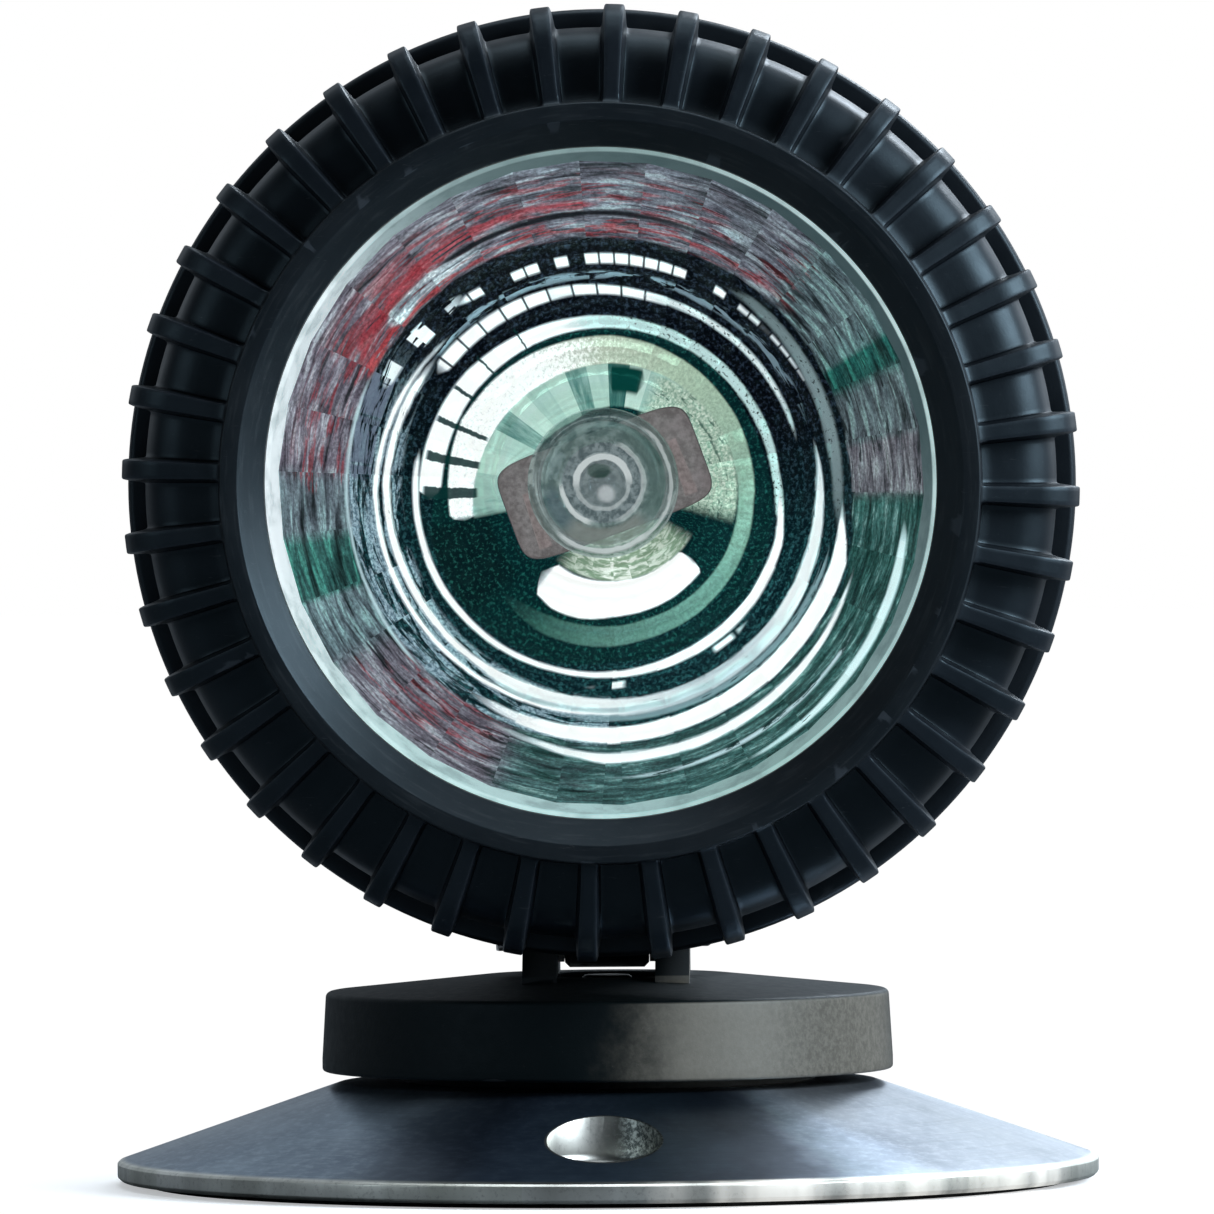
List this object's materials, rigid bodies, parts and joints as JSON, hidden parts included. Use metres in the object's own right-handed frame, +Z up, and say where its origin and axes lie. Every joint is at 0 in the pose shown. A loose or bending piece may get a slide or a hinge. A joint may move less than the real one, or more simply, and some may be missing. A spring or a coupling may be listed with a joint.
{
  "type": "spotlight",
  "caption": "Small outdoor spotlight: reflector lamp behind a clear glass in a ribbed screw ring, on a tilting yoke, turning disc and cone-shaped floor plate",
  "frame": {"origin": "centre of the foot, on the ground plane, on the pan axis", "axes": "+Z up, the lamp faces -Y at rest, +X to the right seen from the front"},
  "size_m": [0.0724, 0.0989, 0.086],
  "materials": {
    "plate_metal": "turned metal under a thin worn blue-grey metallic coat, bare at the rim and in the screw holes",
    "pad_rubber": "matt",
    "black_plastic": "moulded, weathered, slightly greyed",
    "zinc_steel": "bright zinc plate, slightly dulled",
    "nylon": "natural nylon",
    "housing_black": "moulded matt black",
    "ring_black": "moulded satin black, rubbed lighter on the rib tops",
    "seal_rubber": "matt",
    "silicone": "translucent white silicone",
    "clear_glass": "clear toughened glass, ground edge",
    "dichroic_mirror": "faceted glass with a coloured mirror coat",
    "quartz_glass": "clear quartz",
    "tungsten": "dull wire",
    "cement": "porous grey-pink lamp cement",
    "pin_metal": "bright",
    "holder_ceramic": "unglazed",
    "contact_brass": "plain",
    "wire_insulation": "smooth",
    "gland_black": "moulded nylon",
    "cable_rubber": "matt rubber jacket"
  },
  "bodies": {
    "base": {"base_plate": "plate_metal", "foot_pad": "pad_rubber", "friction_ring": "black_plastic", "pan_bolt": "zinc_steel", "pan_washer": "zinc_steel", "pan_nut": "zinc_steel"},
    "swivel": {"turning_disc": "black_plastic", "tilt_bolt": "zinc_steel", "tilt_nut": "zinc_steel", "tilt_washers": "nylon"},
    "head": {"housing": "housing_black", "housing_o_ring": "seal_rubber", "lamp_reflector": "dichroic_mirror", "lamp_capsule": "quartz_glass", "lamp_filament": "tungsten", "lamp_cement": "cement", "lamp_pins": "pin_metal", "rim_cushion": "silicone", "lamp_holder": "holder_ceramic", "holder_contacts": "contact_brass", "terminal_screws": "contact_brass", "holder_bracket": "zinc_steel", "bracket_screws": "zinc_steel", "holder_screw": "zinc_steel", "lead_wires": "wire_insulation", "gland_body": "gland_black", "gland_washer": "seal_rubber", "gland_locknut": "gland_black", "gland_seal": "seal_rubber", "gland_nut": "gland_black", "cable_jacket": "cable_rubber", "cable_cores": "wire_insulation"},
    "glass_carrier": {"cover_glass": "clear_glass", "glass_gasket": "silicone"},
    "ring": {"screw_ring": "ring_black"}
  },
  "joints": [
    {"name": "pan", "type": "hinge", "parent": "base", "child": "swivel", "pos_m": [0, 0, 0.009], "axis": [0, 0, 1], "range_deg": [-180, 180]},
    {"name": "tilt", "type": "hinge", "parent": "swivel", "child": "head", "pos_m": [0, 0, 0.0206], "axis": [-1, 0, 0], "range_deg": [-5, 36]},
    {"name": "ring_travel", "type": "slide", "parent": "head", "child": "glass_carrier", "axis": [0, -1, 0], "range_m": [0, 0.004]},
    {"name": "ring_turn", "type": "hinge", "parent": "glass_carrier", "child": "ring", "pos_m": [0, -0.0277, 0.0515], "axis": [0, -1, 0], "range_deg": [0, 720]}
  ],
  "couplings": [
    {"joint": "ring_travel", "follows": "ring_turn", "m_per_rad": 0.0003183}
  ]
}
